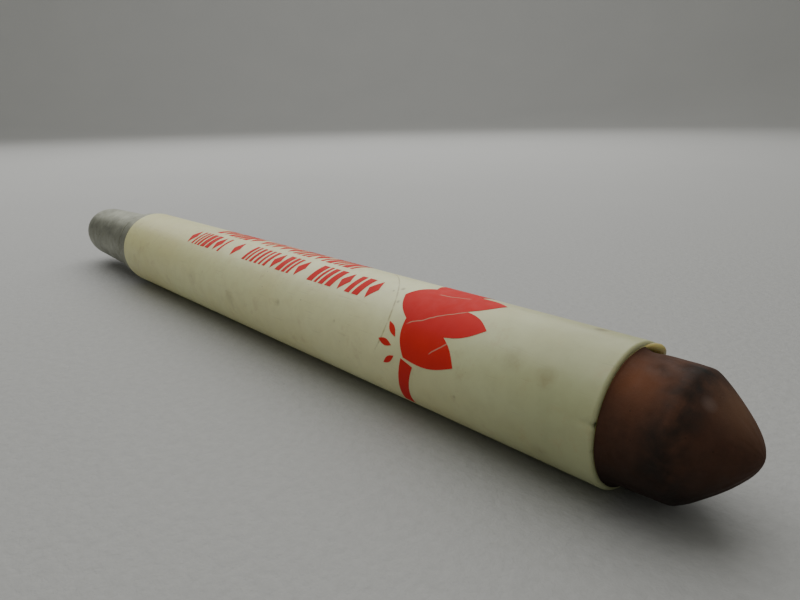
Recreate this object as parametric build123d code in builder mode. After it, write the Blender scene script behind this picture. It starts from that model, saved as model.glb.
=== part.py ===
from build123d import *

import os
from math import atan2, cos, radians, sin, tan

# Bullet pencil, closed: a printed plastic tube with an eraser cemented into one end and a reversible
# metal bullet in the other, which carries a short wood-cased pencil stub point-first inside the tube.
#
# The tube's centre line runs along X and the tube rests on Z = 0. The eraser points to +X, the bullet to
# -X, and X = 0 is the middle of the whole closed pencil. All sizes are in millimetres.

# Tube
barrel_radius = 4.75
barrel_wall = 0.61
barrel_length = 70.5
rim_round = 0.22
mouth_chamfer = 0.15

# Eraser: a plug in the tube, a flare that bulges over the tube's end wall, a neck and a blunt cone
plug_depth = 9.5
flare_overhang = 0.33
flare_length = 0.9
neck_length = 2.62
neck_swell = 0.13
neck_taper = 0.06
shoulder_run = 0.53
shoulder_fall = 0.21
cone_length = 3.73
tip_bluntness = 1.38
plug_chamfer = 0.4

# Cement: a film round the plug and under the flare, squeezed out in a crescent on one side
cement_film = 0.12
crescent_height = 0.45
crescent_spill = 0.24
crescent_direction = 28.0  # degrees from the top towards +Y

# Bullet: one drawn shell with a dome, a rolled groove, a stop bead and a split skirt
sheet = 0.35
skirt_clearance = 0.06
skirt_length = 12.0
bead_width = 2.4
bead_inset = 0.25
bead_round = 0.5
seat_round = 0.18
groove_width = 1.3
groove_depth = 0.42
groove_round = 0.22
nose_clearance = 0.15
nose_body_length = 12.95
nose_taper = 0.39
nose_round = 0.12
dome_length = 5.6
dome_tip_radius = 2.4
slit_pairs = 2
slit_width = 0.5
slit_length = 8.0
stop_gap = 0.05

# Pencil stub: a lead between two glued casing halves
stub_clearance = 0.05
stub_length = 48.5
lead_radius = 1.1
point_half_angle = 12.0
lead_flat_radius = 0.2
butt_gap = 0.1

# Radii that follow from the fits
bore_radius = barrel_radius - barrel_wall
plug_radius = bore_radius - cement_film
flare_radius = bore_radius + flare_overhang
neck_radius = plug_radius + neck_swell
shoulder_radius = neck_radius - neck_taper
skirt_radius = bore_radius - skirt_clearance
bead_radius = barrel_radius - bead_inset
nose_radius = bore_radius - nose_clearance
groove_radius = nose_radius - groove_depth
dome_radius = nose_radius - nose_taper
stub_radius = skirt_radius - sheet - stub_clearance

# Lengths along the centre line that follow from the shapes
eraser_reach = cement_film + flare_length + neck_length + cone_length
bullet_reach = stop_gap + bead_width + groove_width + nose_body_length + dome_length
overall_length = eraser_reach + barrel_length + bullet_reach

# Places along X
eraser_tip_x = overall_length / 2
rim_x = eraser_tip_x - eraser_reach
mouth_x = rim_x - barrel_length
plug_end_x = rim_x - plug_depth
seat_x = rim_x + cement_film
neck_x = seat_x + flare_length
shoulder_x = neck_x + neck_length
bead_x = mouth_x - stop_gap
groove_x = bead_x - bead_width
nose_x = groove_x - groove_width
dome_x = nose_x - nose_body_length
bullet_tip_x = dome_x - dome_length
skirt_end_x = mouth_x + skirt_length
butt_x = groove_x + sheet + butt_gap
point_x = butt_x + stub_length
casing_end_x = point_x - (lead_radius - lead_flat_radius) / tan(radians(point_half_angle))
sharpened_x = casing_end_x - (stub_radius - lead_radius) / tan(radians(point_half_angle))

# Profiles are drawn in the plane of the centre line: local X runs along it, local Y is the radius
lengthwise = Plane(origin=(0, 0, barrel_radius), x_dir=(1, 0, 0), z_dir=(0, -1, 0))
centre_line = Axis((0, 0, barrel_radius), (1, 0, 0))


def across(x):
    """The plane square to the centre line at x: local X is world Y, local Y is up."""
    return Plane(origin=(x, 0, barrel_radius), x_dir=(0, 1, 0), z_dir=(1, 0, 0))


def within(radius, step):
    """A corner radius, kept small enough for two of them to share a step of this height."""
    return min(radius, 0.48 * step)


def circles_of(part, radius):
    """The round edges of a part that have this radius."""
    return part.edges().filter_by(GeomType.CIRCLE).filter_by(lambda edge: abs(edge.radius - radius) < 1e-6)


# The tube: both ends cut square, their outer corners worn round, the bore eased where the bullet goes in
with BuildPart() as barrel:
    with BuildSketch(across(mouth_x)):
        Circle(barrel_radius)
        Circle(bore_radius, mode=Mode.SUBTRACT)
    extrude(amount=barrel_length)
    fillet(circles_of(barrel, barrel_radius), rim_round)
    mouth = circles_of(barrel, bore_radius).sort_by(Axis.X)[0]
    chamfer(mouth, within(mouth_chamfer, barrel_wall - rim_round))
barrel.part.label = "barrel"

# The eraser: moulded round, with a full-sided cone that ends square to the centre line
with BuildPart() as eraser:
    with BuildSketch(lengthwise):
        with BuildLine():
            Polyline((eraser_tip_x, 0), (plug_end_x, 0), (plug_end_x, plug_radius), (seat_x, plug_radius),
                     (seat_x, flare_radius))
            Bezier((seat_x, flare_radius), (seat_x + flare_length / 3, neck_radius), (neck_x, neck_radius))
            Line((neck_x, neck_radius), (shoulder_x, shoulder_radius))
            Bezier((shoulder_x, shoulder_radius),
                   (shoulder_x + shoulder_run, shoulder_radius - shoulder_fall),
                   (eraser_tip_x, tip_bluntness), (eraser_tip_x, 0))
        make_face()
    revolve(axis=centre_line)
    chamfer(circles_of(eraser, plug_radius).sort_by(Axis.X)[0], plug_chamfer)
eraser.part.label = "eraser"

# The cement: sleeve, washer under the flare and the crescent outside it
with BuildPart() as eraser_cement:
    with BuildSketch(across(plug_end_x + plug_chamfer)):
        Circle(bore_radius)
        Circle(plug_radius, mode=Mode.SUBTRACT)
    extrude(amount=plug_depth - plug_chamfer)
    with BuildSketch(across(rim_x)):
        Circle(flare_radius)
        Circle(plug_radius, mode=Mode.SUBTRACT)
    extrude(amount=cement_film)
    with BuildSketch(across(rim_x)):
        with Locations((crescent_spill * sin(radians(crescent_direction)),
                        crescent_spill * cos(radians(crescent_direction)))):
            Circle(flare_radius)
        Circle(flare_radius, mode=Mode.SUBTRACT)
    extrude(amount=crescent_height)
eraser_cement.part.label = "eraser_cement"


def bullet_outline(inset):
    """The bullet's face from its domed tip to its skirt, moved inwards and closed along the centre line."""
    dome_end_radius = dome_radius - inset
    ball_radius = dome_tip_radius - inset
    ball_x = bullet_tip_x + dome_tip_radius
    # The dome's long side is an arc that touches both the taper's end and the ball at the tip
    side_radius = ((dome_x - ball_x) ** 2 + dome_end_radius ** 2 - ball_radius ** 2) \
        / (2 * (dome_end_radius - ball_radius))
    drop = side_radius - dome_end_radius
    lean = atan2(drop, dome_x - ball_x)
    join = (ball_x - ball_radius * cos(lean), ball_radius * sin(lean))
    with BuildLine() as outline:
        TangentArc((bullet_tip_x + inset, 0), join, tangent=(0, 1))
        TangentArc((dome_x, dome_end_radius), join, tangent=(-1, 0))
        FilletPolyline(
            (dome_x, dome_end_radius),
            (nose_x - inset, nose_radius - inset),
            (nose_x - inset, groove_radius - inset),
            (groove_x + inset, groove_radius - inset),
            (groove_x + inset, bead_radius - inset),
            (bead_x - inset, bead_radius - inset),
            (bead_x - inset, skirt_radius - inset),
            (skirt_end_x, skirt_radius - inset),
            radius=(
                within(nose_round, nose_radius - groove_radius),
                within(groove_round, nose_radius - groove_radius),
                within(groove_round, bead_radius - groove_radius),
                within(bead_round, bead_radius - groove_radius),
                within(seat_round, bead_radius - skirt_radius),
                within(seat_round, bead_radius - skirt_radius),
            ),
        )
        Polyline((skirt_end_x, skirt_radius - inset), (skirt_end_x, 0), (bullet_tip_x + inset, 0))
    return outline.edges()


# The bullet: its outline turned at the sheet's outer face, less the same outline set in by the sheet
with BuildPart() as bullet_nose:
    with BuildSketch(lengthwise):
        make_face(bullet_outline(0))
    revolve(axis=centre_line)
    with BuildSketch(lengthwise):
        make_face(bullet_outline(sheet))
    revolve(axis=centre_line, mode=Mode.SUBTRACT)
    with BuildSketch(across(skirt_end_x)):
        with PolarLocations(0, slit_pairs, angular_range=180, endpoint=False):
            SlotOverall(2 * barrel_radius, slit_width)
    extrude(amount=-slit_length, mode=Mode.SUBTRACT)
bullet_nose.part.label = "bullet_nose"

# The pencil stub: a bored cedar casing in two glued halves round one lead
halves = {"stub_casing_upper": Keep.TOP, "stub_casing_lower": Keep.BOTTOM}
casings = []
for name, side in halves.items():
    with BuildPart() as casing:
        with BuildSketch(lengthwise):
            Polygon((butt_x, lead_radius), (butt_x, stub_radius), (sharpened_x, stub_radius),
                    (casing_end_x, lead_radius), align=None)
        revolve(axis=centre_line)
        split(bisect_by=Plane.XY.offset(barrel_radius), keep=side)
    casing.part.label = name
    casings.append(casing)

with BuildPart() as stub_lead:
    with BuildSketch(lengthwise):
        Polygon((butt_x, 0), (butt_x, lead_radius), (casing_end_x, lead_radius),
                (point_x, lead_flat_radius), (point_x, 0), align=None)
    revolve(axis=centre_line)
stub_lead.part.label = "stub_lead"

os.makedirs("parts", exist_ok=True)
for piece in (barrel, eraser, eraser_cement, bullet_nose, *casings, stub_lead):
    export_step(piece.part, f"parts/{piece.part.label}.step")
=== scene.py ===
"""Looks of the bullet pencil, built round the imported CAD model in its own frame.

Sizes are in millimetres until place() turns them into metres. A point on the pencil is given by x
along the centre line, an angle and a radius. The angle is 0 on the -Y side, 90 at the top and 180 on
the +Y side.
"""

import functools
import math
import random

import bmesh
import bpy
from mathutils import Euler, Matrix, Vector, noise


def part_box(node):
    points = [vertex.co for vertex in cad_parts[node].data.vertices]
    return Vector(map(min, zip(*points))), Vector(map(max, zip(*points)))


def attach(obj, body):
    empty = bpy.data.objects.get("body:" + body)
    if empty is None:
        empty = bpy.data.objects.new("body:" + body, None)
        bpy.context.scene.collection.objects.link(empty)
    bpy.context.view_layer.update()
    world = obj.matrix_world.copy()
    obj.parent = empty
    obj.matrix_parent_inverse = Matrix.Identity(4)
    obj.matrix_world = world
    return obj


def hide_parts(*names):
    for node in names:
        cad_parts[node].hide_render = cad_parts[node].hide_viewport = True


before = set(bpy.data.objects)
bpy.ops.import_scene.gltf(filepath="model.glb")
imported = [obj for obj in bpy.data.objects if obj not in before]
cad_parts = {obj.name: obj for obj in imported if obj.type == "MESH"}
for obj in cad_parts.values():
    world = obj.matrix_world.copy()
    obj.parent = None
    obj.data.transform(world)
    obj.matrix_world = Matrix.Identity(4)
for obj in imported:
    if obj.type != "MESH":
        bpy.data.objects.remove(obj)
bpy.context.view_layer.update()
random.seed(7)

MM = 0.001

# ---------------------------------------------------------------- sizes from the frame
barrel_low, barrel_high = (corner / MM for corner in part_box("barrel"))
eraser_low, eraser_high = (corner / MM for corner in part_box("eraser"))
bullet_low, bullet_high = (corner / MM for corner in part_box("bullet_nose"))
casing_low, casing_high = (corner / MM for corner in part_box("stub_casing_upper"))
lead_low, lead_high = (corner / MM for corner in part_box("stub_lead"))
BARREL_R = (barrel_high.z - barrel_low.z) / 2
AXIS_Z = barrel_low.z + BARREL_R
MOUTH_X = barrel_low.x
RIM_X = barrel_high.x
FLARE_R = (eraser_high.z - eraser_low.z) / 2
BEAD_R = (bullet_high.z - bullet_low.z) / 2
STUB_R = (casing_high.y - casing_low.y) / 2
LEAD_R = (lead_high.z - lead_low.z) / 2
POINT_ANGLE = math.radians(12)
SHARPENED_X = casing_high.x - (STUB_R - LEAD_R) / math.tan(POINT_ANGLE)

# ---------------------------------------------------------------- sizes of the fine shapes
WALL = 0.61
BORE_R = BARREL_R - WALL
RIM_ROUND = 0.22
FILM = 0.12
PLUG_R = BORE_R - FILM
NECK_R = PLUG_R + 0.13
SHOULDER_R = NECK_R - 0.06
PLUG_BEVEL = 0.4
SEAT_GAP = 0.015
FLARE_LENGTH = 1.0
FLARE_EDGE = 0.06
CONE_LENGTH = 3.73
CONE_PULL = (0.53, -0.21)  # from the shoulder to the curve's next control point, in x and radius
CONE_BLUNTNESS = 1.38  # radius of the control point square above the tip
LIP_HEIGHT = 0.37
LIP_WIDTH = 0.36
SHEET = 0.35
SKIRT_R = BORE_R - 0.06
NOSE_R = BORE_R - 0.15
GROOVE_R = NOSE_R - 0.42
BEAD_WIDTH = 2.4
GROOVE_WIDTH = 1.3
DOME_R = NOSE_R - 0.39
DOME_LENGTH = 5.6
TIP_BALL_R = 2.4
SLIT_WIDTH = 0.5
SLIT_LENGTH = 8.0
INK = 0.02

# How many straight pieces make up one turn
SEGMENTS = 240
BULLET_SEGMENTS = 144
COARSE_SEGMENTS = 96
LEAD_SEGMENTS = 64


# ---------------------------------------------------------------- shapes
def place(x, angle, radius):
    """A point on the pencil, in metres."""
    turn = math.radians(angle)
    return Vector((x, -radius * math.cos(turn), AXIS_Z + radius * math.sin(turn))) * MM


def ripple(x, angle, size, seed):
    """Smooth noise from -1 to 1 on the pencil's surface, with lumps of about this size."""
    turn = math.radians(angle)
    around = 5 / size
    return noise.noise(Vector((x / size + seed, math.cos(turn) * around, math.sin(turn) * around)))


def hump(value, middle, width):
    """1 at the middle, falling smoothly to 0 a few widths away."""
    return math.exp(-((value - middle) / width) ** 2)


def steps(start, end, count):
    """Evenly spaced points from start to end, without the end."""
    return [tuple(a + (b - a) * i / count for a, b in zip(start, end)) for i in range(count)]


def corner(centre, radius, first, last, count=5):
    """Points on an arc about the centre, from one direction to another, in degrees from +x towards +r."""
    turns = [math.radians(first + (last - first) * i / count) for i in range(count + 1)]
    return [(centre[0] + radius * math.cos(t), centre[1] + radius * math.sin(t)) for t in turns]


def mesh_object(name, shape, smooth=True):
    """The finished bmesh as an object."""
    bmesh.ops.recalc_face_normals(shape, faces=shape.faces)
    data = bpy.data.meshes.new(name)
    shape.to_mesh(data)
    shape.free()
    if smooth:
        data.shade_smooth()
        data.set_sharp_from_angle(angle=math.radians(50))
    piece = bpy.data.objects.new(name, data)
    bpy.context.scene.collection.objects.link(piece)
    return piece


def skin_between(shape, rings):
    """Faces between each ring of vertices and the next; a ring of one vertex is a pole."""
    for one, two in zip(rings, rings[1:]):
        for i in range(max(len(one), len(two))):
            near = [one[i % len(one)], one[(i + 1) % len(one)]]
            far = [two[(i + 1) % len(two)], two[i % len(two)]]
            shape.faces.new(list(dict.fromkeys(near + far)))


def lathe(name, profile, worn, loop=False, segments=SEGMENTS):
    """A profile of (x, radius) points turned about the centre line, each point moved by worn().

    With loop, the profile's last point is joined to its first.
    """
    shape = bmesh.new()
    rings = []
    for x, r in profile:
        count = segments if r > 0 else 1
        angles = [360 * i / segments for i in range(count)]
        rings.append([shape.verts.new(place(wx, a, wr)) for a in angles for wx, wr in [worn(x, a, r)]])
    if loop:
        rings.append(rings[0])
    skin_between(shape, rings)
    return mesh_object(name, shape)


def unroll(piece):
    """A UV map of the piece laid flat, in centimetres.

    U is x from the eraser-end rim, and V is the arc up from the -Y side.
    """
    layer = piece.data.uv_layers.new(name="unrolled")
    for face in piece.data.polygons:
        turns = []
        for loop in face.loop_indices:
            point = piece.data.vertices[piece.data.loops[loop].vertex_index].co / MM
            turns.append(math.degrees(math.atan2(point.z - AXIS_Z, -point.y)))
        wrapped = max(turns) - min(turns) > 180
        for loop, turn in zip(face.loop_indices, turns):
            point = piece.data.vertices[piece.data.loops[loop].vertex_index].co / MM
            turn += 360 if wrapped and turn < 0 else 0
            layer.uv[loop].vector = ((point.x - RIM_X) / 10, math.radians(turn) * BARREL_R / 10)


# ---------------------------------------------------------------- the tube
def tube_outside(x, angle):
    """The worn tube's outer radius: a little out of round, with long soft waves."""
    oval = 0.008 * math.cos(math.radians(2 * angle - 40))
    return BARREL_R - 0.02 + 0.012 * ripple(x, angle, 14, 3) + oval


def worn_tube(x, angle, r):
    """Uneven cut ends, two nicks in the eraser-end rim and the outside's soft waves."""
    outside = (r - BORE_R) / WALL
    r += (tube_outside(x, angle) - BARREL_R) * max(0, outside)
    end = hump(x, RIM_X, 0.5)
    nick = hump(angle, 13, 2.2) * 0.14 + hump(angle, 352, 1.6) * 0.05
    x -= end * (0.02 + 0.02 * ripple(0, angle, 1.6, 11) + nick)
    x += hump(x, MOUTH_X, 0.5) * (0.02 + 0.02 * ripple(0, angle, 2.0, 23))
    return x, r - end * max(0, outside) * nick * 0.5


def tube_profile():
    """Outside from the mouth to the eraser, round the rim and back along the bore."""
    edge = RIM_ROUND
    outer = BARREL_R - edge
    bevel = 0.15
    return (
        corner((MOUTH_X + edge, outer), edge, 180, 90)
        + steps((MOUTH_X + edge * 1.4, BARREL_R), (RIM_X - edge * 1.4, BARREL_R), 90)
        + corner((RIM_X - edge, outer), edge, 90, 0, 8)
        + steps((RIM_X, BORE_R + 0.12), (RIM_X, BORE_R), 2)
        + steps((RIM_X - 0.1, BORE_R), (MOUTH_X + bevel, BORE_R), 8)
        + [(MOUTH_X + bevel, BORE_R), (MOUTH_X, BORE_R + bevel)]
    )


def make_barrel():
    barrel = lathe("barrel_tube", tube_profile(), worn_tube, loop=True)
    unroll(barrel)
    barrel.data.materials.append(ivory_plastic())
    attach(barrel, "barrel")
    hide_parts("barrel")


# ---------------------------------------------------------------- the eraser and its cement
# How far the eraser's tip sits off the centre line
LEAN_Y = 0.062
LEAN_Z = 0.109
# Where the flare is missing and the cement shows
GAP_ANGLE = 119


def eased(points, share=0.5, passes=8):
    """The same points with their corners softened: each drawn towards the middle of its neighbours."""
    for _ in range(passes):
        middles = [((a[0] + c[0]) / 2, (a[1] + c[1]) / 2) for a, c in zip(points, points[2:])]
        inner = []
        for point, middle in zip(points[1:-1], middles):
            inner.append(tuple(p + share * (m - p) for p, m in zip(point, middle)))
        points = points[:1] + inner + points[-1:]
    return points


def cone_points(shoulder, tip, count=40):
    """The cone's bulging side: a cubic curve that ends square to the centre line."""
    (x0, r0), (x3, _) = shoulder, tip
    pull_x, pull_r = CONE_PULL
    points = []
    for i in range(1, count + 1):
        t = i / count
        s = 1 - t
        x = s**3 * x0 + 3 * s * s * t * (x0 + pull_x) + 3 * s * t * t * x3 + t**3 * x3
        r = s**3 * r0 + 3 * s * s * t * (r0 + pull_r) + 3 * s * t * t * CONE_BLUNTNESS
        points.append((x, r))
    return points


def eraser_profile():
    """From the plug's hidden end, along the plug, out over the flare and along the cone to its tip."""
    seat = RIM_X + SEAT_GAP
    plug_end = eraser_low.x
    tip = eraser_high.x
    shoulder = (tip - CONE_LENGTH, SHOULDER_R)
    neck = (seat + FLARE_LENGTH, NECK_R)
    flare = []
    for i in range(13):
        t = i / 12
        x = seat + FLARE_LENGTH * (2 * (1 - t) * t / 3 + t * t)
        flare.append((x, (1 - t) ** 2 * FLARE_R + (2 * (1 - t) * t + t * t) * NECK_R))
    return (
        [(plug_end, 0)]
        + steps((plug_end, 1.0), (plug_end, PLUG_R - PLUG_BEVEL), 4)
        + steps((plug_end, PLUG_R - PLUG_BEVEL), (plug_end + PLUG_BEVEL, PLUG_R), 3)
        + steps((plug_end + PLUG_BEVEL, PLUG_R), (seat, PLUG_R), 12)
        + steps((seat, PLUG_R), (seat, FLARE_R - 0.08), 5)
        + corner((seat + FLARE_EDGE, FLARE_R - FLARE_EDGE), FLARE_EDGE, 180, 90, 4)
        + flare[2:]
        + eased(steps(neck, shoulder, 26)[1:] + [shoulder] + cone_points(shoulder, (tip, 0)))
    )


def worn_eraser(x, angle, r):
    """Rubbed and slightly lopsided: lumps, an uneven flare, a gap in the flare and flats on the cone."""
    out = x - RIM_X
    if out < 0 or r == 0:
        return x, r
    cone = min(1, max(0, (out - 2.9) / 1.5))
    flare = hump(out, 0.12, 0.5)
    fade = min(1, r / 1.5)
    r += fade * (0.035 * ripple(x, angle, 3.2, 31) + 0.014 * ripple(x, angle, 0.9, 37))
    r += flare * (0.04 * ripple(0, angle, 1.3, 41) - 0.40 * hump(angle, GAP_ANGLE, 14) - 0.02)
    rubbed = 0.07 * max(0, math.cos(math.radians(3 * angle + 60))) + 0.05 * ripple(x, angle, 2.1, 43)
    r -= 0.8 * cone * rubbed * fade
    return x + 0.05 * cone * ripple(x, angle, 1.4, 47) * fade, r


def make_eraser():
    eraser = lathe("eraser_rubber", eraser_profile(), worn_eraser)
    tip_out = eraser_high.x - RIM_X
    for vertex in eraser.data.vertices:
        share = max(0, (vertex.co.x / MM - RIM_X) / tip_out)
        vertex.co.y += LEAN_Y * share * MM
        vertex.co.z += LEAN_Z * share * MM
    eraser.data.materials.append(old_rubber())
    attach(eraser, "barrel")
    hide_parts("eraser")


def make_cement():
    """The film inside the bore and the bead round the flare.

    The bead swells to a lip where the flare is missing.
    """
    shape = bmesh.new()
    film_start = eraser_low.x + PLUG_BEVEL
    film_end = RIM_X - 0.3
    sleeve = [(film_start, PLUG_R), (film_start, BORE_R), (film_end, BORE_R), (film_end, PLUG_R)]
    rings = []
    for x, r in sleeve:
        angles = [360 * i / COARSE_SEGMENTS for i in range(COARSE_SEGMENTS)]
        rings.append([shape.verts.new(place(x, angle, r)) for angle in angles])
    skin_between(shape, rings + rings[:1])
    sides = 14
    turns = []
    for i in range(SEGMENTS):
        angle = 360 * i / SEGMENTS
        lip = hump(angle, GAP_ANGLE, 17) * (1 + 0.25 * ripple(0, angle, 1.1, 53))
        thread = 0.6 + 0.4 * ripple(0, angle, 1.5, 59)
        half_height = 0.02 * thread + LIP_HEIGHT * lip
        half_width = 0.03 * thread + LIP_WIDTH * lip
        middle_r = FLARE_R - 0.1 - 0.04 * lip
        middle_x = RIM_X - 0.015 + 0.1 * lip
        section = []
        for j in range(sides):
            t = 2 * math.pi * j / sides
            lump = 1 + 0.12 * lip * noise.noise(Vector((angle / 9, j, 3)))
            x = middle_x + half_height * lump * math.cos(t)
            section.append((x, middle_r + half_width * lump * math.sin(t)))
        turns.append([shape.verts.new(place(x, angle, r)) for x, r in section])
    skin_between(shape, turns + turns[:1])
    cement = mesh_object("cement_bead", shape)
    cement.data.materials.append(yellowed_cement())
    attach(cement, "barrel")
    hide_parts("eraser_cement")


# ---------------------------------------------------------------- the bullet
def bullet_face(inset):
    """The bullet's outline from its tip to the end of its skirt, moved inwards."""
    tip_x = bullet_low.x
    skirt_x = bullet_high.x
    bead_x = MOUTH_X - 0.05
    groove_x = bead_x - BEAD_WIDTH
    nose_x = groove_x - GROOVE_WIDTH
    dome_x = tip_x + DOME_LENGTH
    ball_x = tip_x + TIP_BALL_R
    ball_r = TIP_BALL_R - inset
    end_r = DOME_R - inset
    side_r = ((dome_x - ball_x) ** 2 + end_r**2 - ball_r**2) / (2 * (end_r - ball_r))
    lean = math.degrees(math.atan2(side_r - end_r, dome_x - ball_x))
    bead_r = BEAD_R - inset
    groove_r = GROOVE_R - inset
    nose_r = NOSE_R - inset
    skirt_r = SKIRT_R - inset
    x1, x2, x3 = nose_x - inset, groove_x + inset, bead_x - inset
    return (
        [(tip_x + inset, 0)]
        + corner((ball_x, 0), ball_r, 178, 180 - lean, 14)
        + corner((dome_x, end_r - side_r), side_r, 180 - lean, 90, 18)[1:]
        + steps((dome_x + 0.3, end_r + 0.01), (x1 - 0.2, nose_r), 18)
        + corner((x1 - 0.12, nose_r - 0.12), 0.12, 90, 0)
        + corner((x1 + 0.22, groove_r + 0.22), 0.22, 180, 270)
        + steps((x1 + 0.3, groove_r), (x2 - 0.3, groove_r), 3)
        + corner((x2 - 0.22, groove_r + 0.22), 0.22, 270, 360)
        + corner((x2 + 0.44, bead_r - 0.44), 0.44, 180, 90, 8)
        + steps((x2 + 0.5, bead_r), (x3 - 0.25, bead_r), 8)
        + corner((x3 - 0.18, bead_r - 0.18), 0.18, 90, 0)
        + corner((x3 + 0.18, skirt_r + 0.18), 0.18, 180, 270)
        + steps((x3 + 0.25, skirt_r), (skirt_x, skirt_r), 6)
        + [(skirt_x, skirt_r)]
    )


# Dents in the bullet: distance from its tip, angle, size and depth
BULLET_DENTS = [
    (6.5, 60, 1.1, 0.10), (12.0, 20, 0.8, 0.06), (3.0, 110, 0.9, 0.08), (9.0, 250, 1.4, 0.10),
    (15.5, 330, 0.7, 0.05), (20.6, 75, 0.5, 0.04), (2.2, 300, 0.7, 0.07),
]


def knocked(x, angle, r):
    """Small dents and the slight waviness of thin drawn metal."""
    outside = min(1, max(0, (MOUTH_X - 0.3 - x) / 0.5))
    dents = 0
    for at, turn, size, depth in BULLET_DENTS:
        off_turn = (angle - turn + 180) % 360 - 180
        dents += depth * hump(x, bullet_low.x + at, size) * hump(off_turn, 0, size * 13)
    return x, r - outside * (dents + 0.012 * ripple(x, angle, 2.4, 61)) * min(1, r)


def make_bullet():
    outline = bullet_face(0) + bullet_face(SHEET)[::-1]
    bullet = lathe("bullet_shell", outline, knocked, segments=BULLET_SEGMENTS)
    for turn in (45, 135):
        saw = bmesh.new()
        bmesh.ops.create_cube(saw, size=1)
        blade = Vector((2 * SLIT_LENGTH, 4 * BEAD_R, SLIT_WIDTH)) * MM
        bmesh.ops.scale(saw, vec=blade, verts=saw.verts)
        bmesh.ops.rotate(saw, matrix=Euler((math.radians(turn), 0, 0)).to_matrix(), verts=saw.verts)
        bmesh.ops.translate(saw, vec=Vector((bullet_high.x, 0, AXIS_Z)) * MM, verts=saw.verts)
        cutter = mesh_object("slit_cutter", saw, smooth=False)
        cut = bullet.modifiers.new("slit", "BOOLEAN")
        cut.operation = "DIFFERENCE"
        cut.solver = "MANIFOLD"
        cut.object = cutter
        apply_modifiers(bullet)
        bpy.data.objects.remove(cutter)
    bullet.data.materials.clear()
    bullet.data.materials.append(dull_metal())
    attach(bullet, "bullet")
    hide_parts("bullet_nose")


def apply_modifiers(piece):
    """The piece's mesh as its modifiers make it."""
    graph = bpy.context.evaluated_depsgraph_get()
    piece.data = bpy.data.meshes.new_from_object(piece.evaluated_get(graph))
    piece.modifiers.clear()


# ---------------------------------------------------------------- the pencil stub
def make_casing(name, node, first_angle):
    """Half of the cedar casing, sharpened with a blade's small flats, with its groove for the lead."""
    shape = bmesh.new()
    arc = 48
    cone_end = casing_high.x
    cone_start = SHARPENED_X
    places = [x for (x,) in steps((casing_low.x,), (cone_start,), 40)]
    places += [x for (x,) in steps((cone_start,), (cone_end,), 34)] + [cone_end]
    rings = []
    for x in places:
        along = max(0, (x - cone_start) / (cone_end - cone_start))
        ring = []
        for i in range(arc + 1):
            angle = first_angle + 180 * i / arc
            cut = STUB_R - (STUB_R - LEAD_R - 0.02) * along
            flat = 0.05 * min(1, 4 * along) * abs(math.sin(math.radians(angle * 4.5))) * (1 - along)
            rough = 0.006 * (ripple(x, angle, 0.8, 67) + 1)
            ring.append(shape.verts.new(place(x, angle, cut - flat - rough)))
        for i in range(arc, -1, -1):
            ring.append(shape.verts.new(place(x, first_angle + 180 * i / arc, LEAD_R)))
        rings.append(ring)
    skin_between(shape, rings)
    for ring in (rings[0], rings[-1]):
        half = len(ring) // 2
        for i in range(half - 1):
            shape.faces.new((ring[i], ring[i + 1], ring[-2 - i], ring[-1 - i]))
    casing = mesh_object(name, shape)
    casing.data.materials.append(cedar())
    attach(casing, "stub")
    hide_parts(node)


def make_lead():
    """The lead, its bare end shaved to a blunt point."""
    point = lead_high.x
    bare = point - (LEAD_R - 0.2) / math.tan(POINT_ANGLE)
    inner = LEAD_R - 0.004
    profile = (
        [(lead_low.x, 0), (lead_low.x, inner / 2)]
        + steps((lead_low.x, inner), (bare, inner), 30)
        + steps((bare, inner), (point - 0.1, 0.24), 24)
        + [(point - 0.06, 0.19), (point - 0.015, 0.1), (point, 0)]
    )

    def shaved(x, angle, r):
        return x, r - (0.012 * (1 + ripple(x, angle, 0.5, 71)) if x > bare else 0)

    lead = lathe("lead_core", profile, shaved, segments=LEAD_SEGMENTS)
    lead.data.materials.append(graphite())
    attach(lead, "stub")
    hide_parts("stub_lead")


# ---------------------------------------------------------------- the print
def ink(name, outlines):
    """Printed marks: closed outlines wrapped onto the worn tube.

    Each point is x from the rim and the arc up from the -Y side.
    """
    shape = bmesh.new()
    for outline in outlines:
        shape.faces.new([shape.verts.new((u, v, 0)) for u, v in outline])
    bmesh.ops.dissolve_degenerate(shape, dist=0.002, edges=shape.edges)
    bmesh.ops.triangulate(shape, faces=shape.faces)
    low = min(v for outline in outlines for _, v in outline)
    high = max(v for outline in outlines for _, v in outline)
    strip = 0.25
    for i in range(1, int((high - low) / strip) + 1):
        parts = list(shape.verts) + list(shape.edges) + list(shape.faces)
        line = (0, low + strip * i, 0)
        bmesh.ops.bisect_plane(shape, geom=parts, plane_co=line, plane_no=(0, 1, 0), dist=1e-5)
    bmesh.ops.remove_doubles(shape, verts=shape.verts, dist=0.003)
    bmesh.ops.triangulate(shape, faces=shape.faces)
    copied = bmesh.ops.extrude_face_region(shape, geom=list(shape.faces))["geom"]
    deep = {v for v in copied if isinstance(v, bmesh.types.BMVert)}
    for vertex in shape.verts:
        x = RIM_X + vertex.co.x
        angle = math.degrees(vertex.co.y / BARREL_R)
        lift = -INK if vertex in deep else INK
        vertex.co = place(x, angle, tube_outside(x, angle) + lift)
    mark = mesh_object(name, shape)
    unroll(mark)
    mark.data.materials.append(red_ink())
    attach(mark, "barrel")


def slanted_bar(u, low, high, width, lean):
    """One upright bar, leaning to the right as it rises."""
    foot = u + lean * low
    head = u + lean * high
    return [(foot, low), (foot + width, low), (head + width, high), (head, high)]


BAR_WIDTHS = (0.34, 0.46, 0.62, 0.80)
MARK_GAPS = (0.3, 0.34, 0.4)
LOZENGE_WIDTH = 1.15
BAR_SHARE = 0.7


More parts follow.
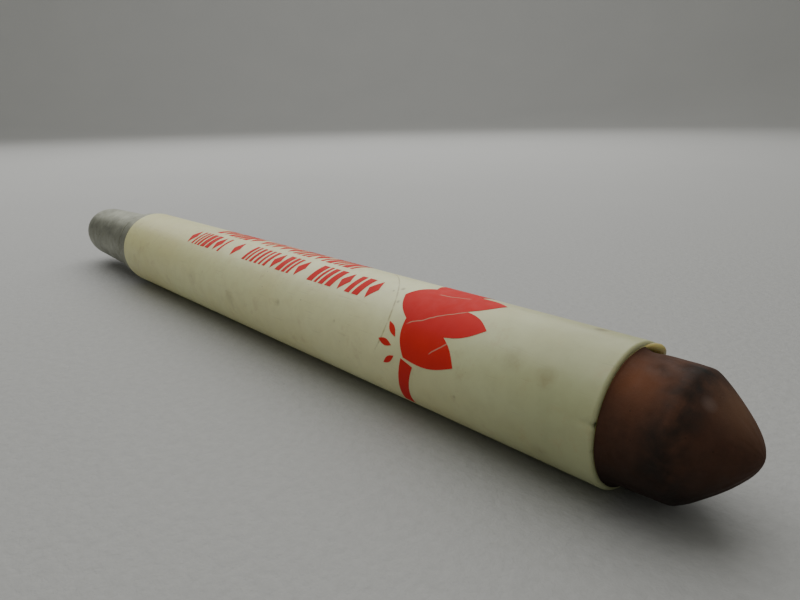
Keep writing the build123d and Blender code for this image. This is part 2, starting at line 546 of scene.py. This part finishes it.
def mark_row(start, end, low, high, groups):
    """Groups of lozenges and bars of uneven width, in place of words.

    Each group is a share of the row, from its first to its last.
    """
    lean = 0.18
    middle = (low + high) / 2
    marks = []
    for first, last in groups:
        u = start + (end - start) * first - lean * middle
        stop = start + (end - start) * last - lean * middle
        while u < stop - 0.3:
            width = random.choice(BAR_WIDTHS)
            if random.random() < BAR_SHARE:
                marks.append(slanted_bar(u, low, high, width, lean))
            else:
                width = LOZENGE_WIDTH
                points = [(u, middle), (u + width / 2, low), (u + width, middle), (u + width / 2, high)]
                marks.append([(x + lean * y, y) for x, y in points])
            u += width + random.choice(MARK_GAPS)
    return marks


def bowed(points, bow, count=10):
    """A closed outline through the points, each side bowed outwards by this share of its length."""
    outline = []
    for a, b in zip(points, points[1:] + points[:1]):
        a, b = Vector(a), Vector(b)
        out = Vector((b.y - a.y, a.x - b.x))
        for i in range(count):
            outline.append(tuple(a.lerp(b, i / count) + out * bow * math.sin(math.pi * i / count)))
    return outline


def ribbon(points, widths, count=20):
    """A band along a cubic curve with four control points, its width eased through the three widths."""
    a, b, c, d = (Vector(p) for p in points)
    left, right = [], []
    for i in range(count + 1):
        t = i / count
        s = 1 - t
        at = a * s**3 + b * 3 * s * s * t + c * 3 * s * t * t + d * t**3
        way = ((b - a) * s * s + (c - b) * 2 * s * t + (d - c) * t * t).normalized()
        side = Vector((-way.y, way.x))
        half = (widths[0] * s * s + widths[1] * 2 * s * t + widths[2] * t * t) / 2
        left.append(tuple(at + side * half))
        right.append(tuple(at - side * half))
    return left + right[::-1]


# The leaf's outline: from its base up its right side, tip and notch in turn, and down its left side
LEAF = [
    (-15.5, 0.75), (-10.7, 1.3), (-12.3, 3.1), (-9.3, 4.5), (-11.9, 5.6), (-9.9, 7.6), (-12.6, 8.0),
    (-12.9, 10.6), (-14.8, 9.1), (-16.9, 10.0), (-16.5, 7.4), (-18.2, 5.6), (-16.4, 3.6),
]
STALK = [(-16.1, -3.7), (-15.9, -2.4), (-15.5, -0.9), (-15.1, 0.45)]
STALK_WIDTHS = (1.0, 0.9, 1.3)
SEEDS = [((-16.7, 2.0), (-17.8, 3.0)), ((-16.9, 1.3), (-18.4, 1.5)), ((-16.5, 0.6), (-17.6, -0.2))]
LOWER_GROUPS = [(0, 0.256), (0.298, 0.35), (0.389, 0.7), (0.738, 1)]
UPPER_GROUPS = [(0, 0.3), (0.35, 1)]


def make_print():
    """Two rows of marks and the leaf. A row has its start and end in x, then its low and high edge."""
    ink("print_lower_row", mark_row(-54.2, -21.0, 4.15, 6.3, LOWER_GROUPS))
    ink("print_upper_row", mark_row(-51.0, -25.7, 6.95, 9.1, UPPER_GROUPS))
    leaf = [bowed(LEAF, 0.09), ribbon(STALK, STALK_WIDTHS)]
    ink("print_leaf", leaf + [bowed(list(ends), 0.17) for ends in SEEDS])


# ---------------------------------------------------------------- materials
class Nodes:
    """A material under construction: most calls add a node and return its output."""

    def __init__(self, name):
        self.material = bpy.data.materials.new(name)
        self.material.use_nodes = True
        self.tree = self.material.node_tree
        self.shader = self.tree.nodes["Principled BSDF"]

    def add(self, kind, inputs=(), **settings):
        """A new node with its settings made and its inputs fed."""
        node = self.tree.nodes.new(kind)
        for key, value in settings.items():
            setattr(node, key, value)
        for key, value in dict(inputs).items():
            self.feed(node.inputs[key], value)
        return node

    def feed(self, socket, value):
        """Link an output to the socket, or set the socket to a plain value."""
        if isinstance(value, bpy.types.NodeSocket):
            self.tree.links.new(value, socket)
        elif isinstance(value, tuple) and len(value) == 3 and socket.type == "RGBA":
            socket.default_value = (*value, 1)
        else:
            socket.default_value = value

    def set(self, **values):
        """Feed the shader's own sockets."""
        for key, value in values.items():
            self.feed(self.shader.inputs[key.replace("_", " ")], value)

    def place(self, stretch=(1, 1, 1)):
        """Object coordinates in millimetres, stretched."""
        where = self.add("ShaderNodeTexCoord").outputs["Object"]
        scale = tuple(s / MM for s in stretch)
        return self.add("ShaderNodeMapping", {"Vector": where, "Scale": scale}).outputs["Vector"]

    def axes(self, at):
        """The separate X, Y and Z of a place."""
        return self.add("ShaderNodeSeparateXYZ", {"Vector": at}).outputs

    def flat(self):
        """The unrolled surface: x from the rim and arc, in centimetres."""
        return self.add("ShaderNodeUVMap", uv_map="unrolled").outputs["UV"]

    def noise(self, at, scale, detail, rough=0.5, warp=0.0):
        inputs = {"Vector": at, "Scale": scale, "Detail": detail, "Roughness": rough, "Distortion": warp}
        return self.add("ShaderNodeTexNoise", inputs).outputs["Fac"]

    def cells(self, at, scale):
        return self.add("ShaderNodeTexVoronoi", {"Vector": at, "Scale": scale}).outputs["Distance"]

    def range(self, value, low, high, to_low=0.0, to_high=1.0):
        """The value's place between low and high, moved to between to_low and to_high."""
        inputs = {"Value": value, "From Min": low, "From Max": high, "To Min": to_low, "To Max": to_high}
        return self.add("ShaderNodeMapRange", inputs).outputs["Result"]

    def math(self, operation, *values):
        node = self.add("ShaderNodeMath", operation=operation)
        for socket, value in zip(node.inputs, values):
            self.feed(socket, value)
        return node.outputs["Value"]

    def mix(self, share, first, second, blend="MIX"):
        node = self.add("ShaderNodeMix", data_type="RGBA", blend_type=blend)
        colour_sockets = [node.inputs[0], node.inputs[6], node.inputs[7]]
        for socket, value in zip(colour_sockets, (share, first, second)):
            self.feed(socket, value)
        return node.outputs[2]

    def spot(self, at, centre, radius, squash=(1, 1, 1)):
        """1 at the centre of a blob, falling to 0 at its radius."""
        moved = self.add("ShaderNodeVectorMath", operation="SUBTRACT")
        self.feed(moved.inputs[0], at)
        self.feed(moved.inputs[1], centre)
        scaled = self.add("ShaderNodeVectorMath", operation="MULTIPLY")
        self.feed(scaled.inputs[0], moved.outputs["Vector"])
        self.feed(scaled.inputs[1], squash)
        size = self.add("ShaderNodeVectorMath", operation="LENGTH")
        self.feed(size.inputs[0], scaled.outputs["Vector"])
        return self.range(size.outputs["Value"], radius, 0)

    def bump(self, height, distance, strength, under=None):
        """A normal tilted by a height in millimetres, on top of another normal if there is one."""
        inputs = {"Height": height, "Distance": distance * MM, "Strength": strength}
        if under is not None:
            inputs["Normal"] = under
        return self.add("ShaderNodeBump", inputs).outputs["Normal"]


# Stains on the tube: x from the rim and arc, in millimetres, then radius and strength
STAINS = [
    (-32.5, 1.24, 0.45, 0.55), (-50.0, 0.58, 1.2, 0.25), (-10.4, -0.66, 0.16, 0.8), (-2.9, 8.1, 0.55, 1.0),
    (-3.7, 2.8, 0.9, 0.45), (-6.3, 3.15, 1.1, 0.35), (-3.7, -2.3, 0.8, 0.35), (-41.5, -0.17, 1.1, 0.35),
    (-19.0, 6.1, 0.26, 1.0), (-18.2, 4.7, 0.20, 1.0), (-19.6, 5.6, 0.16, 0.9), (-24.0, 1.5, 0.2, 0.4),
]

# The hairline in the plastic, in centimetres: its arc and x where it is nearest the eraser, and how
# fast it curves away
HAIRLINE_ARC = 0.27
HAIRLINE_X = -1.80
HAIRLINE_CURVE = -1.3


def ivory_plastic():
    """Aged ivory plastic: patchy, specked, stained and finely scratched, with one curved hairline.

    It is duller towards the eraser and yellower towards the bullet.
    """
    n = Nodes("ivory_plastic")
    at = n.place()
    flat = n.flat()
    patches = n.range(n.noise(at, 0.11, 3), 0.35, 0.68)
    colour = n.mix(patches, (0.89, 0.905, 0.55), (0.84, 0.81, 0.46))
    mottle = n.range(n.noise(at, 0.9, 6, 0.62), 0.42, 0.75, 0, 0.35)
    colour = n.mix(mottle, colour, (0.69, 0.67, 0.38))
    # Darker and slightly greener towards the eraser end
    darker_zone = n.range(n.axes(at)["X"], RIM_X - 18, RIM_X - 3)
    colour = n.mix(darker_zone, colour, (0.58, 0.60, 0.56), "MULTIPLY")
    yellowed = n.range(n.axes(at)["X"], MOUTH_X + 45, MOUTH_X + 5)
    colour = n.mix(yellowed, colour, (0.90, 0.88, 0.76), "MULTIPLY")
    foxing = n.range(n.noise(at, 0.55, 5, 0.7), 0.57, 0.70, 0, 0.30)
    colour = n.mix(foxing, colour, (0.52, 0.41, 0.21))
    speck = n.range(n.cells(at, 0.75), 0.05, 0.025)
    specks = n.math("MULTIPLY", speck, n.range(n.noise(at, 0.25, 2), 0.5, 0.6))
    colour = n.mix(n.math("MULTIPLY", specks, 0.7), colour, (0.16, 0.11, 0.05))
    edge = n.noise(at, 2.2, 5, 0.6)
    for u, v, radius, strength in STAINS:
        blot = n.spot(flat, (u / 10, v / 10, 0), radius / 10)
        blot = n.math("MULTIPLY", blot, n.range(edge, 0.25, 0.7, 0.3 * strength, strength))
        colour = n.mix(blot, colour, (0.20, 0.145, 0.06))
    off_middle = n.math("ABSOLUTE", n.math("SUBTRACT", n.axes(flat)["Y"], HAIRLINE_ARC))
    curved = n.math("MULTIPLY_ADD", n.math("POWER", off_middle, 2), HAIRLINE_CURVE, HAIRLINE_X)
    off_line = n.math("ABSOLUTE", n.math("SUBTRACT", n.axes(flat)["X"], curved))
    hairline = n.math("MULTIPLY", n.range(off_line, 0.012, 0.003), n.range(edge, 0.35, 0.55, 0.1, 0.6))
    hairline = n.math("MULTIPLY", hairline, n.range(n.axes(flat)["Y"], 0.0, 0.08))
    colour = n.mix(hairline, colour, (0.30, 0.23, 0.09))
    scratches = n.range(n.noise(n.place((0.16, 2.6, 2.6)), 2.1, 2, 0.4), 0.66, 0.72)
    colour = n.mix(n.math("MULTIPLY", scratches, 0.12), colour, (0.35, 0.31, 0.2))
    n.set(Base_Color=colour, Roughness=n.range(n.noise(at, 0.7, 5), 0.3, 0.7, 0.33, 0.49))
    n.set(IOR=1.5, Specular_IOR_Level=0.5)
    n.set(Subsurface_Weight=0.12, Subsurface_Radius=(1.0, 0.8, 0.5), Subsurface_Scale=0.0006)
    fine = n.bump(n.noise(at, 3.5, 4, 0.6), 0.008, 0.5)
    n.set(Normal=n.bump(scratches, -0.006, 0.6, fine))
    return n.material


# Scratches through the ink: x from the rim and arc of the middle, slope and half length, in millimetres
INK_SCRATCHES = [(-13.9, 4.4, 0.55, 2.6), (-14.2, 6.9, 0.25, 1.4), (-12.2, 2.4, 0.9, 1.2)]


@functools.cache
def red_ink():
    """Screen-printed red, worn thin in spots, with fine scratches down to the plastic."""
    n = Nodes("red_ink")
    at = n.place()
    flat = n.flat()
    colour = n.mix(n.noise(at, 0.5, 4), (0.79, 0.034, 0.028), (0.65, 0.026, 0.025))
    thin = n.range(n.noise(at, 3.0, 7, 0.7), 0.62, 0.78, 0, 0.5)
    colour = n.mix(thin, colour, (0.62, 0.14, 0.07))
    wobble = n.noise(flat, 6, 2)
    for u, v, slope, length in INK_SCRATCHES:
        inputs = {"Vector": flat, "Location": (-u / 10, -v / 10, 0)}
        moved = n.add("ShaderNodeMapping", inputs).outputs["Vector"]
        inputs = {"Vector": moved, "Angle": -math.atan(slope)}
        turned = n.add("ShaderNodeVectorRotate", inputs, rotation_type="Z_AXIS").outputs[0]
        along = n.axes(turned)
        off = n.math("ADD", along["Y"], n.range(wobble, 0, 1, -0.02, 0.02))
        line = n.range(n.math("ABSOLUTE", off), 0.006, 0.002)
        reach = n.range(n.math("ABSOLUTE", along["X"]), length / 10, length / 12)
        bared = n.math("MULTIPLY", n.math("MULTIPLY", line, reach), 0.75)
        colour = n.mix(bared, colour, (0.60, 0.42, 0.28))
    n.set(Base_Color=colour, Roughness=n.range(n.noise(at, 1.5, 4), 0.3, 0.7, 0.5, 0.66))
    n.set(Normal=n.bump(n.noise(at, 5, 5, 0.6), 0.006, 0.5), Specular_IOR_Level=0.12)
    return n.material


# Graphite smears on the eraser: distance out from the rim, angle, size and strength
SMEARS = [
    (2.0, 74, 1.1, 0.8), (3.6, 92, 1.2, 0.9), (4.3, 47, 1.5, 0.9), (3.4, 24, 1.6, 0.9),
    (3.3, 0, 1.7, 0.9), (3.3, -22, 1.8, 0.8), (1.2, 12, 1.0, 0.5), (4.6, 200, 1.6, 0.8),
    (2.6, 150, 1.2, 0.6),
]
SMEAR_GREY = (0.014, 0.014, 0.012)
# Dark colour for the specks of dirt and for the painted shade on the underside
GRIME_AND_SHADE = (0.014, 0.011, 0.009)


def old_rubber():
    """Brick-red rubber gone brown, smeared with graphite along the shoulder and rubbed paler in places,
    with painted shade darkening its underside.
    """
    n = Nodes("old_rubber")
    at = n.place()
    patches = n.range(n.noise(at, 0.35, 4, 0.6), 0.35, 0.65)
    colour = n.mix(patches, (0.102, 0.044, 0.025), (0.072, 0.032, 0.019))
    mottle = n.range(n.noise(at, 1.6, 6, 0.65), 0.45, 0.75, 0, 0.4)
    colour = n.mix(mottle, colour, (0.048, 0.023, 0.016))
    clean = n.spot(at, tuple(place(RIM_X + 1.1, 55, NECK_R) / MM), 2.6, squash=(0.9, 1, 1))
    colour = n.mix(n.math("MULTIPLY", clean, 0.85), colour, (0.185, 0.066, 0.028))
    worn = n.spot(at, tuple(place(RIM_X + 6.0, 100, 2.6) / MM), 2.6)
    colour = n.mix(n.math("MULTIPLY", worn, 0.8), colour, (0.165, 0.088, 0.050))
    cloud = n.range(n.noise(at, 0.7, 4, 0.55, 0.3), 0.25, 0.70)
    off_shoulder = n.math("ABSOLUTE", n.math("SUBTRACT", n.axes(at)["X"], RIM_X + 3.75))
    smear = n.math("MULTIPLY", n.range(off_shoulder, 1.5, 0.3), cloud)
    colour = n.mix(n.math("MULTIPLY", smear, 0.85), colour, SMEAR_GREY)
    for out, angle, size, strength in SMEARS:
        smear = n.spot(at, tuple(place(RIM_X + out, angle, SHOULDER_R) / MM), size)
        smear = n.math("MULTIPLY", n.math("MULTIPLY", smear, cloud), strength)
        colour = n.mix(smear, colour, SMEAR_GREY)
    # Painted shade: the eraser darkens towards its bottom.
    shaded_underside = n.range(n.axes(at)["Z"], AXIS_Z + 1.2, AXIS_Z - 2.6, 0, 0.8)
    colour = n.mix(shaded_underside, colour, GRIME_AND_SHADE)
    # A pale pinkish-grey spot near the shoulder
    pale_spot = n.spot(at, tuple(place(RIM_X + 4.9, 65, 3.45) / MM), 0.6)
    colour = n.mix(n.math("MULTIPLY", pale_spot, 0.55), colour, (0.20, 0.15, 0.13))
    speck = n.range(n.cells(at, 2.4), 0.16, 0.06)
    specks = n.math("MULTIPLY", speck, n.range(n.noise(at, 0.8, 3), 0.5, 0.62))
    colour = n.mix(n.math("MULTIPLY", specks, 0.6), colour, GRIME_AND_SHADE)
    n.set(Base_Color=colour, Roughness=n.range(n.noise(at, 1.2, 4), 0.3, 0.7, 0.66, 0.88))
    n.set(Specular_IOR_Level=0.22)
    grain = n.bump(n.noise(at, 6, 6, 0.65), 0.03, 0.5)
    pits = n.range(n.cells(at, 3.2), 0.0, 0.25)
    n.set(Normal=n.bump(pits, 0.012, 0.35, grain))
    return n.material


def yellowed_cement():
    n = Nodes("yellowed_cement")
    at = n.place()
    colour = n.mix(n.noise(at, 1.4, 5), (0.58, 0.50, 0.17), (0.42, 0.33, 0.09))
    n.set(Base_Color=colour, Roughness=0.42, Subsurface_Weight=0.2, Subsurface_Scale=0.0004)
    n.set(Normal=n.bump(n.noise(at, 3, 5), 0.03, 0.5))
    return n.material


def dull_metal():
    """Drawn metal, tarnished in clouds and darker spots, finely scratched along its length."""
    n = Nodes("dull_metal")
    at = n.place()
    clouds = n.range(n.noise(at, 0.4, 5, 0.6), 0.35, 0.7)
    colour = n.mix(clouds, (0.38, 0.385, 0.315), (0.235, 0.24, 0.19))
    spots = n.range(n.noise(at, 1.8, 6, 0.7), 0.56, 0.74, 0, 0.75)
    colour = n.mix(spots, colour, (0.085, 0.08, 0.06))
    marks = n.range(n.noise(n.place((0.3, 3, 3)), 3, 3, 0.5), 0.6, 0.72)
    n.set(Base_Color=colour, Metallic=0.9, Roughness=n.range(n.noise(at, 1.1, 5), 0.3, 0.7, 0.42, 0.64))
    fine = n.bump(n.noise(at, 2.6, 5, 0.6), 0.012, 0.5)
    n.set(Normal=n.bump(marks, -0.006, 0.5, fine))
    return n.material


@functools.cache
def cedar():
    """Cedar with long reddish grain and pores, a dark glue line, and darker where it isn't sharpened."""
    n = Nodes("cedar")
    grain = n.noise(n.place((0.05, 1.0, 0.7)), 2.6, 7, 0.6, 0.4)
    colour = n.mix(n.range(grain, 0.3, 0.7), (0.60, 0.36, 0.19), (0.40, 0.19, 0.085))
    darker_zone = n.range(n.axes(n.place())["X"], SHARPENED_X + 0.1, SHARPENED_X - 0.1, 0, 0.55)
    colour = n.mix(darker_zone, colour, (0.30, 0.150, 0.070))
    off_seam = n.math("ABSOLUTE", n.math("SUBTRACT", n.axes(n.place())["Z"], AXIS_Z))
    seam = n.range(off_seam, 0.05, 0.02, 0, 0.6)
    colour = n.mix(seam, colour, (0.13, 0.06, 0.03))
    pores = n.range(n.noise(n.place((0.12, 3.2, 3.2)), 3.0, 4, 0.6), 0.6, 0.72, 0, 0.6)
    colour = n.mix(pores, colour, (0.24, 0.10, 0.045))
    n.set(Base_Color=colour, Roughness=n.range(grain, 0.3, 0.7, 0.5, 0.72))
    n.set(Normal=n.bump(grain, 0.03, 0.5, n.bump(pores, -0.02, 0.5)))
    return n.material


def graphite():
    n = Nodes("graphite")
    at = n.place()
    rings = n.noise(n.place((3.5, 0.3, 0.3)), 2.0, 4)
    colour = n.mix(n.noise(at, 1.5, 5), (0.055, 0.055, 0.06), (0.10, 0.10, 0.105))
    n.set(Base_Color=colour, Metallic=0.55)
    n.set(Roughness=n.range(rings, 0.3, 0.7, 0.35, 0.55), Normal=n.bump(rings, 0.015, 0.5))
    return n.material


def paper():
    """The pale floor: matte, with a faint tooth and a few dark specks."""
    n = Nodes("paper")
    at = n.place()
    colour = n.mix(n.noise(at, 0.02, 4), (0.43, 0.43, 0.415), (0.395, 0.395, 0.385))
    tooth = n.noise(at, 1.3, 6, 0.6)
    colour = n.mix(n.range(tooth, 0.35, 0.65, 0, 0.3), colour, (0.32, 0.32, 0.31))
    speck = n.range(n.cells(at, 0.3), 0.05, 0.02)
    specks = n.math("MULTIPLY", speck, n.range(n.noise(at, 0.1, 3), 0.5, 0.6))
    colour = n.mix(n.math("MULTIPLY", specks, 0.5), colour, (0.15, 0.145, 0.13))
    n.set(Base_Color=colour, Roughness=0.6, Normal=n.bump(tooth, 0.16, 0.8))
    return n.material


# ---------------------------------------------------------------- stage, light and camera
# Camera: its place from the middle of the eraser-end rim, in millimetres, its angles and its lens
CAMERA_FROM_RIM = Vector((16.70, -33.97, 18.28))
CAMERA_ANGLES = (73.16, 0.96, 47.59)
CAMERA_LENS = 28.96
SENSOR_WIDTH = 36

# The floor: how far it is flat, the radius it sweeps up with and how high it ends
FLOOR_FLAT = 620
FLOOR_SWEEP = 280
FLOOR_TOP = 560

# Each light: its place in millimetres, its width in millimetres and its power in watts
KEY_PLACE = (-160, 100, 300)
KEY_WIDTH = 560
KEY_WATTS = 1.4
BACKDROP_PLACE = (-260, 235, 420)
BACKDROP_TARGET = (-520, 470, 120)
BACKDROP_WIDTH = 420
BACKDROP_WATTS = 1.1
ROOM_LIGHT = (0.42, 0.422, 0.398, 1)


def make_stage():
    """A round flat floor that sweeps up all round, well clear of the bullet when it is drawn out."""
    shape = bmesh.new()
    section = [(10, 0), (60, 0), (200, 0), (400, 0)]
    section += corner((FLOOR_FLAT, FLOOR_SWEEP), FLOOR_SWEEP, -90, 0, 18)
    section += [(FLOOR_FLAT + FLOOR_SWEEP, FLOOR_TOP)]
    turns = [2 * math.pi * i / COARSE_SEGMENTS for i in range(COARSE_SEGMENTS)]
    rings = [[shape.verts.new((0, 0, 0))]]
    for reach, height in section:
        ring = [Vector((reach * math.cos(t), reach * math.sin(t), height)) * MM for t in turns]
        rings.append([shape.verts.new(point) for point in ring])
    skin_between(shape, rings)
    floor = mesh_object("floor", shape)
    floor.data.materials.append(paper())


def make_light(name, place_mm, width, watts, towards=(0, 0, 0)):
    """A square light, turned to face a point."""
    data = bpy.data.lights.new(name, "AREA")
    data.energy = watts
    data.size = width * MM
    lamp = bpy.data.objects.new(name, data)
    lamp.location = Vector(place_mm) * MM
    lamp.rotation_euler = (Vector(towards) * MM - lamp.location).to_track_quat("-Z", "Y").to_euler()
    bpy.context.scene.collection.objects.link(lamp)


def make_camera():
    data = bpy.data.cameras.new("camera")
    data.lens = CAMERA_LENS
    data.sensor_width = SENSOR_WIDTH
    data.clip_start = 0.001
    camera = bpy.data.objects.new("camera", data)
    camera.location = (Vector((RIM_X, 0, AXIS_Z)) + CAMERA_FROM_RIM) * MM
    camera.rotation_euler = Euler([math.radians(a) for a in CAMERA_ANGLES])
    bpy.context.scene.collection.objects.link(camera)
    bpy.context.scene.camera = camera


make_barrel()
make_eraser()
make_cement()
make_bullet()
make_casing("casing_upper", "stub_casing_upper", 0)
make_casing("casing_lower", "stub_casing_lower", 180)
make_lead()
make_print()

make_stage()
make_light("key", KEY_PLACE, KEY_WIDTH, KEY_WATTS)
make_light("backdrop_light", BACKDROP_PLACE, BACKDROP_WIDTH, BACKDROP_WATTS, BACKDROP_TARGET)
world = bpy.data.worlds.new("room")
world.use_nodes = True
world.node_tree.nodes["Background"].inputs["Color"].default_value = ROOM_LIGHT
bpy.context.scene.world = world
make_camera()
